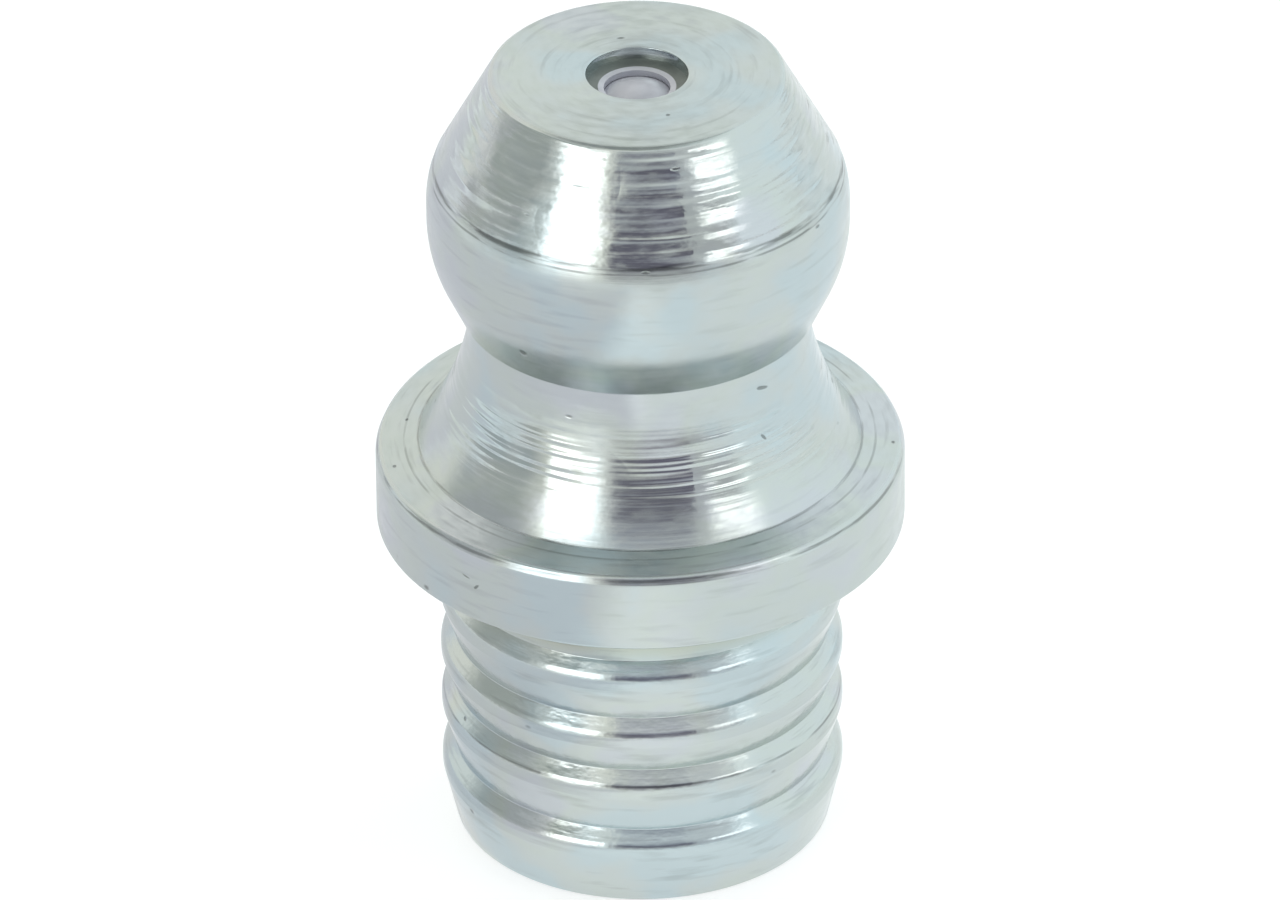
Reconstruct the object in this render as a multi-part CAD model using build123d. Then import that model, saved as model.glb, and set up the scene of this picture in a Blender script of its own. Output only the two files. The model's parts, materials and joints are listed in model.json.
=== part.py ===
from build123d import *

import os
from math import cos, pi, radians, sin, sqrt, tan

# Straight drive-in grease nipple, in millimetres.
# Z runs along the nipple's axis towards the head, and Z = 0 is the underside of the collar,
# the face that stops on the machine when the barbed shank is driven into its hole.
# An inset is a step in radius, measured inwards from the size that its comment names.

# ---- Head: what the grease coupler grips ----
HEAD_D = 6.50               # widest part of the head
HEAD_TOP = 7.83             # top face above the collar's underside
FACE_INSET = 0.995          # sharp corner of the flat top face, in from the head's widest part
FACE_ROUND = 0.12           # radius of the top face's edge
CONE_INSET = 0.118          # lower end of the nose cone, in from the widest part
CONE_HALF_ANGLE = 28.6      # nose cone against the axis
BEVEL_INSET = 0.048         # lower end of the bevel under the nose cone, in from the widest part
BEVEL_HALF_ANGLE = 18.4     # bevel against the axis
CROWN_R = 1.765             # arc from the bevel out to the land
LAND_LENGTH = 0.25          # short cylinder at the widest part
UNDER_R = 2.35              # arc that turns in below the land
UNDER_HALF_ANGLE = 25.0     # cone under the head against the axis
UNDER_INSET = 0.493         # lower edge of that cone, in from the widest part

# ---- Neck and the flare down to the collar ----
NECK_INSET = 0.157          # waist, in from the cone's lower edge
NECK_STEP = 0.11            # height of the undercut edge between head and neck
FLARE_R = 4.85              # concave arc from the neck out to the collar

# ---- Collar ----
COLLAR_D = 8.20             # outside
COLLAR_LEDGE = 0.66         # width of the collar's top face, from the rim in to the flare
COLLAR_RIM = 1.28           # thickness at the rim, to the sharp corner
COLLAR_SLOPE = 9.0          # fall of the collar's top face, outwards
COLLAR_ROUND = 0.12         # radius of the rim's upper edge
COLLAR_CHAMFER = 0.05       # bevel on the rim's lower edge
ROOT_BEVEL = 0.30           # bevel between the collar's underside and the shank

# ---- Barbed shank, pressed into a plain hole ----
BARB_D = 6.27               # crests
GROOVE_INSET = 0.20         # grooves, in from the crests
FIRST_BARB = 1.27           # collar's underside down to the first crest's cylinder
BARB_PITCHES = (1.04, 0.95, 1.10)  # from each crest down to the next
BARB_LAND = 0.11            # short cylinder on each crest
BARB_BACK_ANGLE = 40.0      # holding side of a barb against the axis
CREST_ROUND = 0.25          # radius between a barb's holding side and its crest
PILOT_LENGTH = 0.87         # lead-in taper, from the last crest down to the shank's end
PILOT_INSET = 0.205         # lower end of that taper, in from the crests
PILOT_CHAMFER = 0.05        # bevel on the shank's lower edge

# ---- Ball, and the valve seat that fits it ----
BALL_D = 2.00               # check ball
SEAT_HALF_ANGLE = 59.0      # seat's cone against the axis, as a drill point leaves it
SEAT_GAP = 0.01             # ball to its seat
SEAT_WIDTH = 0.005          # from the ball's line of contact in to the port, in radius
PORT_LENGTH = 0.10          # straight wall of the port, the hole that the ball closes
MOUTH_D = 1.57              # mouth in the top face
MOUTH_DEPTH = 0.20          # straight wall of the mouth
MOUTH_HALF_ANGLE = 80.0     # mouth's floor against the axis, falling to the port
BORE_PLAY = 0.15            # ball to the wall of the valve bore

# ---- Spring, between the ball and the lip ----
WIRE_D = 0.25               # spring wire
SPRING_PLAY = 0.20          # spring to the wall of the valve bore
SPRING_GAP = 0.03           # spring to the ball and to the lip
SPRING_TURNS = 10           # turns of wire in all
CLOSED_TURNS = 1.25         # turns laid close together at each end
CLOSED_GAP = 0.03           # air between the close turns
WIRE_SIDES = 8              # flats round the wire
BENDS_PER_TURN = 12         # straight lengths of wire in each turn

# ---- Staked end, which holds the spring in ----
LIP_REACH = 0.075           # lip, in from the spring's mean radius
LIP_LENGTH = 0.30           # straight wall of the opening left in the lip
LIP_HALF_ANGLE = 60.0       # inner slope of the lip against the axis
STAKE_OFFSET = 0.45         # middle of the punch's ring mark, out from the valve bore
STAKE_WIDTH = 0.50          # ring mark across, at the end face
STAKE_DEPTH = 0.22          # ring mark, down to its bottom


def cone_height(low_r, high_r, half_angle):
    """Height in which a cone of this half angle goes from one radius to the other."""
    return abs(high_r - low_r) / tan(radians(half_angle))


# Head and neck, from the top face down.
head_r = HEAD_D / 2
face_r = head_r - FACE_INSET
cone_r = head_r - CONE_INSET
cone_z = HEAD_TOP - cone_height(face_r, cone_r, CONE_HALF_ANGLE)
bevel_r = head_r - BEVEL_INSET
bevel_z = cone_z - cone_height(cone_r, bevel_r, BEVEL_HALF_ANGLE)
land_top_z = bevel_z - sqrt(2 * CROWN_R * BEVEL_INSET - BEVEL_INSET**2)
land_z = land_top_z - LAND_LENGTH
turn_in_r = head_r - UNDER_R * (1 - cos(radians(UNDER_HALF_ANGLE)))
turn_in_z = land_z - UNDER_R * sin(radians(UNDER_HALF_ANGLE))
under_r = head_r - UNDER_INSET
under_z = turn_in_z - cone_height(turn_in_r, under_r, UNDER_HALF_ANGLE)
neck_r = under_r - NECK_INSET
neck_z = under_z - NECK_STEP

# Collar.
collar_r = COLLAR_D / 2
flare_r = collar_r - COLLAR_LEDGE
flare_z = COLLAR_RIM + COLLAR_LEDGE * tan(radians(COLLAR_SLOPE))

# Shank: heights of the crests' cylinders, and the end.
barb_r = BARB_D / 2
groove_r = barb_r - GROOVE_INSET
pilot_r = barb_r - PILOT_INSET
barb_zs = [-FIRST_BARB - sum(BARB_PITCHES[:count]) for count in range(len(BARB_PITCHES) + 1)]
crest_zs = [barb_z + CREST_ROUND * tan(radians(BARB_BACK_ANGLE / 2)) for barb_z in barb_zs]
back_height = cone_height(groove_r, barb_r, BARB_BACK_ANGLE)
end_z = barb_zs[-1] - BARB_LAND - PILOT_LENGTH

# Passage, from the mouth down to the seat. The ball lies against the seat's cone.
ball_r = BALL_D / 2
mouth_r = MOUTH_D / 2
mouth_z = HEAD_TOP - MOUTH_DEPTH
touch_r = ball_r * cos(radians(SEAT_HALF_ANGLE))
port_r = touch_r - SEAT_WIDTH
port_top_z = mouth_z - cone_height(port_r, mouth_r, MOUTH_HALF_ANGLE)
port_z = port_top_z - PORT_LENGTH
touch_z = port_z - cone_height(port_r, touch_r, SEAT_HALF_ANGLE)
ball_z = touch_z - ball_r * sin(radians(SEAT_HALF_ANGLE)) - SEAT_GAP
bore_r = ball_r + BORE_PLAY
seat_z = port_z - cone_height(port_r, bore_r, SEAT_HALF_ANGLE)

# Spring and lip. The top turn lies against the ball and the bottom turn on the lip.
wire_r = WIRE_D / 2
coil_r = bore_r - SPRING_PLAY - wire_r
lip_r = coil_r - LIP_REACH
lip_top_z = end_z + LIP_LENGTH
lip_base_z = lip_top_z + cone_height(lip_r, bore_r, LIP_HALF_ANGLE)
stake_r = bore_r + STAKE_OFFSET
spring_top_z = ball_z - sqrt((ball_r + wire_r + SPRING_GAP) ** 2 - coil_r**2)
spring_seat_z = lip_top_z + cone_height(lip_r, coil_r, LIP_HALF_ANGLE)
spring_bottom_z = spring_seat_z + (wire_r + SPRING_GAP) / sin(radians(LIP_HALF_ANGLE))


def corner(section, radius, height):
    """Corner of a half section at this radius and height."""
    return section.vertices().sort_by_distance((radius, height, 0))[0]


def make_body():
    """The turned body: its outside revolved, then the passage and the stake mark cut from it."""
    shank = []
    for barb_z, crest_z in zip(barb_zs, crest_zs):
        shank.append((groove_r, crest_z + back_height))
        shank.append((barb_r, crest_z))
        shank.append((barb_r, barb_z - BARB_LAND))
    with BuildPart() as body:
        with BuildSketch(Plane.XZ) as outside:
            with BuildLine():
                Polyline((0, end_z), (0, HEAD_TOP), (face_r, HEAD_TOP), (cone_r, cone_z),
                         (bevel_r, bevel_z))
                RadiusArc((bevel_r, bevel_z), (head_r, land_top_z), CROWN_R)
                Line((head_r, land_top_z), (head_r, land_z))
                RadiusArc((head_r, land_z), (turn_in_r, turn_in_z), UNDER_R)
                Polyline((turn_in_r, turn_in_z), (under_r, under_z), (neck_r, neck_z))
                RadiusArc((neck_r, neck_z), (flare_r, flare_z), -FLARE_R)
                Polyline((flare_r, flare_z), (collar_r, COLLAR_RIM), (collar_r, 0), (groove_r, 0),
                         *shank, (pilot_r, end_z), (0, end_z))
            make_face()
            fillet(corner(outside, face_r, HEAD_TOP), FACE_ROUND)
            fillet(corner(outside, collar_r, COLLAR_RIM), COLLAR_ROUND)
            chamfer(corner(outside, collar_r, 0), COLLAR_CHAMFER)
            chamfer(corner(outside, groove_r, 0), ROOT_BEVEL)
            for crest_z in crest_zs:
                fillet(corner(outside, barb_r, crest_z), CREST_ROUND)
            chamfer(corner(outside, pilot_r, end_z), PILOT_CHAMFER)
        revolve(axis=Axis.Z)
        with BuildSketch(Plane.XZ):
            with BuildLine():
                Polyline((0, HEAD_TOP), (mouth_r, HEAD_TOP), (mouth_r, mouth_z),
                         (port_r, port_top_z), (port_r, port_z), (bore_r, seat_z),
                         (bore_r, lip_base_z), (lip_r, lip_top_z), (lip_r, end_z), (0, end_z),
                         close=True)
            make_face()
        revolve(axis=Axis.Z, mode=Mode.SUBTRACT)
        with BuildSketch(Plane.XZ):
            with BuildLine():
                Polyline((stake_r - STAKE_WIDTH / 2, end_z), (stake_r, end_z + STAKE_DEPTH),
                         (stake_r + STAKE_WIDTH / 2, end_z), close=True)
            make_face()
        revolve(axis=Axis.Z, mode=Mode.SUBTRACT)
    return body.part


def make_ball():
    """The check ball, against its seat."""
    return Pos(0, 0, ball_z) * Sphere(ball_r)


def spring_rise(turn):
    """Height of the wire's centre after this many turns: close at both ends, open between."""
    close_pitch = WIRE_D + CLOSED_GAP
    open_turns = SPRING_TURNS - 2 * CLOSED_TURNS
    length = spring_top_z - spring_bottom_z
    open_pitch = (length - 2 * CLOSED_TURNS * close_pitch) / open_turns
    into_open = min(max(turn - CLOSED_TURNS, 0), open_turns)
    return turn * close_pitch + into_open * (open_pitch - close_pitch)


def make_spring():
    """The compression spring: wire bent round a helix whose end turns lie close together."""
    points = []
    for bend in range(round(SPRING_TURNS * BENDS_PER_TURN) + 1):
        turn = bend / BENDS_PER_TURN
        angle = 2 * pi * turn
        height = spring_bottom_z + spring_rise(turn)
        points.append((coil_r * cos(angle), coil_r * sin(angle), height))
    path = Polyline(*points)
    wire_section = Plane(path @ 0, z_dir=path % 0) * RegularPolygon(wire_r, WIRE_SIDES)
    return sweep(wire_section, path=path, transition=Transition.RIGHT)


os.makedirs("parts", exist_ok=True)
export_step(make_body(), "parts/nipple_body.step")
export_step(make_ball(), "parts/check_ball.step")
export_step(make_spring(), "parts/valve_spring.step")
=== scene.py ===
"""Dresses the straight drive-in grease nipple: turned body, check ball and spring, on a pale floor."""

import json
from math import cos, hypot, pi, radians, sin, sqrt, tan

import bmesh
import bpy
from bpy.props import FloatProperty, FloatVectorProperty, IntProperty, PointerProperty
from mathutils import Matrix, Vector


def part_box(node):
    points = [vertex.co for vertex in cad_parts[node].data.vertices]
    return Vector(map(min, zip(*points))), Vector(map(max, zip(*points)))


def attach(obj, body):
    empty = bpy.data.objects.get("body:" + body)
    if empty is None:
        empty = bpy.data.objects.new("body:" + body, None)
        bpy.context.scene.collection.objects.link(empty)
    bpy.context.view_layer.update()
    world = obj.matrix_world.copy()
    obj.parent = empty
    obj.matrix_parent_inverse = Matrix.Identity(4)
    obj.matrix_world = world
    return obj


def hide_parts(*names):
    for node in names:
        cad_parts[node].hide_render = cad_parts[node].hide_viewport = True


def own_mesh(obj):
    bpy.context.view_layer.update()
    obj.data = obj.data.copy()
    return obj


bl_info = {
    "name": "Grease Nipple",
    "version": (1, 0, 0),
    "blender": (4, 5, 0),
    "location": "3D View > Sidebar > Nipple",
    "description": "Builds the pieces, finishes and stage of a straight drive-in grease nipple",
    "category": "Object",
}

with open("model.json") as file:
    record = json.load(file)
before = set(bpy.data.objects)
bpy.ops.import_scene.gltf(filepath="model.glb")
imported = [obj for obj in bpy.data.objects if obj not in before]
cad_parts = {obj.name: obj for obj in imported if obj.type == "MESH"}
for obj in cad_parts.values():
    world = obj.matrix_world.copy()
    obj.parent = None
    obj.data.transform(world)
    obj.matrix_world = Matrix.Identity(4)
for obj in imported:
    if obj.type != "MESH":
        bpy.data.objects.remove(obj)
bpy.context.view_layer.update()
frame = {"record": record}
record = frame["record"]
MM = 0.001

body_low, body_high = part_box("nipple_body")
ball_low, ball_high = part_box("check_ball")
spring_low, spring_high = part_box("valve_spring")
mounts = {mount["name"]: mount for mount in record["mounts"]}

# Dents from handling: azimuth, radius, height, tilt, half length and half width, in degrees and mm.
DENTS = (
    (-98, 3.650, 1.351, 0, 0.05, 0.035),
    (-78, 3.880, 1.315, 0, 0.04, 0.035),
    (42, 2.834, 2.585, 55, 0.11, 0.030),
    (45, 2.646, 3.327, 15, 0.14, 0.034),
    (87, 3.920, 1.309, 40, 0.09, 0.040),
    (-38, 4.100, 0.630, -40, 0.07, 0.025),
    (-66, 3.050, -3.020, 30, 0.09, 0.045),
    (-41, 4.100, 0.740, 10, 0.10, 0.015),
    (20, 1.360, 7.830, 60, 0.14, 0.040),
)
# Marks of the zinc: pitch across the turning marks and reach along them, in mm.
FEED_LINES = (0.28, 9.0)
RINGS = (0.25, 3.4)
FINE_RINGS = (0.16, 3.4)
HAIRLINES = (0.045, 2.0)
PEEL = (0.13, 0.13)
BLOTCHES = (0.14, 0.30)
NICK_CELLS = (0.5, 0.9)
LINE_BREAKS = (0.1, 0.8)
SMEARS = (0.12, 1.1)
# Where marks start and where they are whole: in the noise, which runs from about 0.25 to 0.75, in a
# nick's cell, and in half sizes of a dent. The roughness swings between the two of ROUGH_SWING.
PATCH_EDGE = (0.36, 0.62)
LINE_EDGE = (0.38, 0.56)
SMEAR_EDGE = (0.55, 0.72)
NICK_EDGE = (0.09, 0.04)
DENT_EDGE = (1.4, 1.1)
ROUGH_SWING = (0.35, 0.65)
# What is left of the rings in their faint patches, and below and above the flare's ringed part.
FAINT_PATCH, FAINT_BELOW, FAINT_ABOVE = 0.35, 0.08, 0.15
# The flare's roughness falls to this share between these strengths of its rings.
GLOSS_SHARE, GLOSS_EDGE = 0.5, (0.1, 0.6)
# How dirty a nick is, how far blotches shift the film's tint, and the swing of bare steel's roughness.
NICK_DIRT, BLOTCH_TINT, STEEL_SWING = 0.6, 0.10, 0.2
# Sizes of what has no direction, and the depth of a nick, in mm.
RING_PATCHES = 1.1
FILM_CLOUDS = 1.9
FLOOR_GRAIN = 6.0
NICK_DEPTH = 0.006
# Edges that turn by more than this stay sharp.
SHARP_ANGLE = radians(28)
# Values of the film's clouds at which its tints lie.
FILM_SHARES = (0.42, 0.51, 0.59, 0.68)
# Heights above the flare's foot, in mm: the rings fade in between the first two, out between the others.
RING_HEIGHTS = (0.35, 0.9, 1.2, 1.7)
# Radii from the middle, in mm, between which the floor's light falls off to that of its far end, and
# the least and the most roughness of the floor.
FAR_FALL = (35, 160)
FLOOR_ROUGH = (0.75, 0.95)

# Cloths that the metal mirrors: azimuth, half width and fade in degrees, distance in metres, and the
# tone at each elevation. The grey ones give the mirror-like faces their dark bands.
CLOTHS = {
    "front_panel": (8.5, 30.0, 9.0, 0.45, (
        (-2, "#DEDCD9"), (6, "#C8C7C8"), (11, "#918E98"), (14, "#767381"), (22, "#767381"),
        (27, "#9694A0"), (31, "#B2B3BC"), (36, "#BDC0C6"), (52, "#BBBEC5"))),
    "right_panel": (38.0, 25.0, 14.0, 0.47, (
        (-2, "#DCDCDC"), (6, "#C9C9CE"), (13, "#C8CACE"), (24, "#CFD1D4"), (34, "#D6D8DA"),
        (52, "#CCCFD1"))),
    "left_panel": (-85.0, 34.0, 18.0, 0.45, (
        (-4, "#D4D0D2"), (8, "#BEC2C1"), (24, "#B6BAB8"), (30, "#B9BEBD"), (40, "#B4BAB8"))),
    "upper_left_panel": (-72.0, 38.0, 10.0, 0.45, ((34, "#A9B0AC"), (48, "#A2AAA6"), (62, "#B4BAB8"))),
}
# Bright cloths: azimuth, half width, fade and distance as above, lowest and highest elevation, strength.
LAMPS = {
    "left_lamp": (-38.5, 19.0, 9.0, 0.40, 5, 36, 2.7),
    "right_lamp": (51.5, 17.0, 8.0, 0.40, 15, 32, 1.95),
}
# Lights over the object: azimuth and elevation, then distance, width and height in metres, radiance.
TOP_LAMPS = {
    "left_top_lamp": (-105, 64, 0.35, 0.40, 0.13, 2.0),
    "right_top_lamp": (105, 64, 0.35, 0.40, 0.13, 2.0),
}
# Share of a cloth's height over which it thins out, at its foot and at its head.
CLOTH_ENDS = 0.12
# Tones of the white tent on the left, the right and overhead. They blend over directions whose part
# sideways is within TENT_BLEND, and whose part upwards is more than TENT_DIM_FROM.
TENT_LEFT = (0.98, 0.97, 0.92)
TENT_RIGHT = (1.01, 1.08, 1.10)
TENT_TOP = (0.34, 0.36, 0.36)
TENT_BLEND = 0.35
TENT_DIM_FROM = 0.74
# What the grey net of painted shade lets through on the left and the right, and how far out it is at its full
# tone, in mm.
NET_LEFT, NET_LEFT_AT = (0.73, 0.72, 0.75), -5
NET_RIGHT, NET_RIGHT_AT = (0.90, 0.91, 0.92), 6
# The camera: lens and sensor in mm, angles in degrees, distance and aim in metres.
LENS, SENSOR = 409.0, 36.0
EYE_ELEVATION, EYE_ROLL = 31.65, -0.4918
EYE_DISTANCE = 0.2253
EYE_AIM = (-0.000003, 0, 0.0010747)


def mount_size(name):
    """Radius, centre height and wall length of a round mount, in metres."""
    mount = mounts[name]
    dims = mount["dims"]
    return dims["r_mm"] * MM, mount["pos_m"][2], dims["length_mm"] * MM


def linear(hex_colour):
    """A linear colour from an sRGB hex value."""
    parts = [int(hex_colour[i:i + 2], 16) / 255 for i in (1, 3, 5)]
    return [c / 12.92 if c <= 0.04045 else ((c + 0.055) / 1.055) ** 2.4 for c in parts]


def length(name, about, value):
    """A length property in metres, from a value in millimetres."""
    return FloatProperty(name=name, description=about, default=value * MM, unit="LENGTH", precision=5)


def angle(name, about, value):
    """An angle property, from a value in degrees."""
    return FloatProperty(name=name, description=about, default=radians(value), unit="ROTATION")


def colour(name, about, value):
    """A colour property, from an sRGB hex value."""
    return FloatVectorProperty(name=name, description=about, default=linear(value), subtype="COLOR",
                               size=3, min=0, max=1)


class NippleHead(bpy.types.PropertyGroup):
    """Sizes of the head, where the frame doesn't give them."""
    face_inset: length("Face inset", "Top face's sharp corner, in from the widest part", 0.995)
    face_round: length("Face round", "Radius of the top face's edge", 0.12)
    cone_inset: length("Cone inset", "Lower end of the nose cone, in from the widest part", 0.118)
    cone_angle: angle("Cone angle", "Nose cone against the axis", 28.6)
    bevel_inset: length("Bevel inset", "Lower end of the bevel, in from the widest part", 0.048)
    bevel_angle: angle("Bevel angle", "Bevel under the nose cone against the axis", 18.4)
    crown_r: length("Crown radius", "Arc from the bevel out to the widest part", 1.765)
    under_r: length("Under radius", "Arc that turns in below the widest part", 2.35)
    under_angle: angle("Under angle", "Cone under the head against the axis", 25.0)
    under_inset: length("Under inset", "Lower edge of the head, in from the widest part", 0.493)
    neck_inset: length("Neck inset", "Waist, in from the head's lower edge", 0.157)
    neck_step: length("Neck step", "Height of the undercut between head and neck", 0.11)
    flare_r: length("Flare radius", "Concave arc from the neck out to the collar", 4.85)


class NippleCollar(bpy.types.PropertyGroup):
    """Sizes of the collar and the barbed shank, where the frame doesn't give them."""
    ledge: length("Ledge", "Width of the collar's top face", 0.66)
    rim: length("Rim", "Thickness at the rim, to the sharp corner", 1.28)
    slope: angle("Slope", "Fall of the collar's top face", 9.0)
    edge_inset: length("Edge inset", "Rolled edge of the rim, inwards", 0.06)
    edge_drop: length("Edge drop", "Rolled edge of the rim, downwards", 0.13)
    top_round: length("Top round", "Radius of both corners of the rolled edge", 0.09)
    ring_inset: length("Ring inset", "Fine ring line on the ledge, in from the rim", 0.45)
    ring_width: length("Ring width", "That line across", 0.05)
    flare_foot: length("Flare foot", "Radius between the flare and the ledge", 0.03)
    foot_round: length("Foot round", "Radius of the rim's lower edge", 0.06)
    root_bevel: length("Root bevel", "Bevel between the collar's underside and the shank", 0.30)
    pitch_1: length("First pitch", "First crest to the second", 1.04)
    pitch_2: length("Second pitch", "Second crest to the third", 0.95)
    pitch_3: length("Third pitch", "Third crest to the fourth", 1.10)
    groove_inset: length("Groove inset", "Grooves, in from the crests", 0.20)
    groove_round: length("Groove round", "Radius in the bottom of each groove", 0.02)
    back_angle: angle("Back angle", "Holding side of a barb against the axis", 40.0)
    crest_round: length("Crest round", "Radius of a crest's upper edge", 0.25)
    crest_foot: length("Crest foot", "Radius of a crest's lower edge", 0.05)
    pilot_inset: length("Pilot inset", "Lower end of the lead-in taper, in from the crests", 0.205)
    pilot_round: length("Pilot round", "Radius of the shank's lower edge", 0.05)


class NippleValve(bpy.types.PropertyGroup):
    """Sizes of the grease passage and the spring, where the frame doesn't give them."""
    mouth_round: length("Mouth round", "Radius of the mouth's upper edge", 0.015)
    # Painted shade: outside this radius the mouth's floor is painted dark, as the shade of the mouth's wall.
    shade_edge_r: length("Rubbed radius", "Ring of the mouth's floor that is rubbed bright", 0.60)
    mouth_angle: angle("Mouth angle", "Mouth's floor against the axis", 80.0)
    drill_angle: angle("Drill angle", "Seat's cone against the axis", 59.0)
    seat_width: length("Seat width", "From the ball's line of contact in to the port", 0.005)
    port_length: length("Port length", "Straight wall of the port", 0.10)
    bore_play: length("Bore play", "Ball to the wall of the valve bore", 0.15)
    lip_angle: angle("Lip angle", "Inner slope of the lip against the axis", 60.0)
    stake_offset: length("Stake offset", "Middle of the punch's ring mark, out from the bore", 0.45)
    stake_width: length("Stake width", "Ring mark across, at the end face", 0.50)
    stake_depth: length("Stake depth", "Ring mark, down to its bottom", 0.22)
    wire_d: length("Wire", "Spring wire across", 0.25)
    spring_play: length("Spring play", "Spring to the wall of the valve bore", 0.20)
    turns: FloatProperty(name="Turns", description="Turns of wire in all", default=10.0)
    closed_turns: FloatProperty(name="Closed turns", description="Turns laid close at each end",
                                default=1.25)
    closed_gap: length("Closed gap", "Air between the close turns", 0.03)


class NippleFinish(bpy.types.PropertyGroup):
    """Colours of the finishes and the fineness of the meshes."""
    zinc: colour("Zinc", "Bright zinc plating", "#C6CECD")
    zinc_cool: colour("Zinc, cool", "Where the passivation film is blue", "#C1CED1")
    zinc_warm: colour("Zinc, warm", "Where the passivation film is straw-coloured", "#C7CFCB")
    zinc_violet: colour("Zinc, violet", "Where the passivation film is violet", "#C7CDD0")
    # Partly painted shade: this straw tint is darker than the film, for the collar's shade on the neck below
    # it.
    straw_film_and_shade: colour("Zinc, straw", "Where the passivation film has gathered in a corner", "#B4B8A0")
    # This colour also darkens the lines at the outline's corners and edges, where it is painted shade and
    # painted reflection.
    nick: colour("Nick", "Dirt in the nicks", "#565A58")
    # Also painted shade: the mouth's floor near its wall takes this dark colour, as the wall's shade.
    passage: colour("Passage", "Bare steel in the grease passage", "#7E837F")
    nick_share: FloatProperty(name="Nick share", description="Share of the cells that hold a nick",
                              default=0.42, min=0, max=1)
    ball: colour("Ball", "Bearing steel", "#D0D1D7")
    wire: colour("Wire", "Drawn spring wire", "#A9ABAD")
    floor: colour("Floor", "Pale floor", "#CBCDCD")
    floor_glow: FloatProperty(name="Floor glow", description="Light that the floor sheet passes from below",
                              default=0.37, min=0)
    # Painted light: the floor glows more round the object's foot, to fill the object's shadow there.
    foot_painted_light: FloatProperty(name="Base glow", description="That light round the object's foot",
                             default=0.60, min=0)
    glow_reach: length("Glow reach", "Radius in which the glow falls off to that of the floor", 13)
    far_glow: FloatProperty(name="Far glow", description="That light at the far end of the sheet",
                            default=0.22, min=0)
    facets: IntProperty(name="Facets", description="Steps round the axis", default=256, min=24)


def add(tree, kind, links=None, **settings):
    """Adds a shader node with its settings. Links are its inputs: values, or other nodes' outputs."""
    node = tree.nodes.new("ShaderNode" + kind)
    for name, value in settings.items():
        setattr(node, name, value)
    for name, value in (links or {}).items():
        if isinstance(value, bpy.types.NodeSocket):
            tree.links.new(value, node.inputs[name])
        else:
            node.inputs[name].default_value = value
    return node


def rgba(three):
    """A four-part colour from a three-part one."""
    return (*three, 1.0)


def new_material(name):
    """An empty material with its node tree and output."""
    material = bpy.data.materials.new(name)
    material.use_nodes = True
    material.node_tree.nodes.clear()
    return material, material.node_tree


def eased(tree, value, low, high, at_low=0.0, at_high=1.0):
    """A value taken softly from one range to another, and held at its ends."""
    return add(tree, "MapRange", {0: value, 1: low, 2: high, 3: at_low, 4: at_high},
               interpolation_type="SMOOTHSTEP").outputs[0]


def tint_ramp(tree, value, stops):
    """Colours laid over a value. Stops are shares from 0 to 1 with three-part colours."""
    node = add(tree, "ValToRGB", {0: value})
    ramp = node.color_ramp
    for share, tint in stops:
        ramp.elements.new(share).color = rgba(tint)
    ramp.elements.remove(ramp.elements[0])
    ramp.elements.remove(ramp.elements[-1])
    return node.outputs[0]


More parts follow.
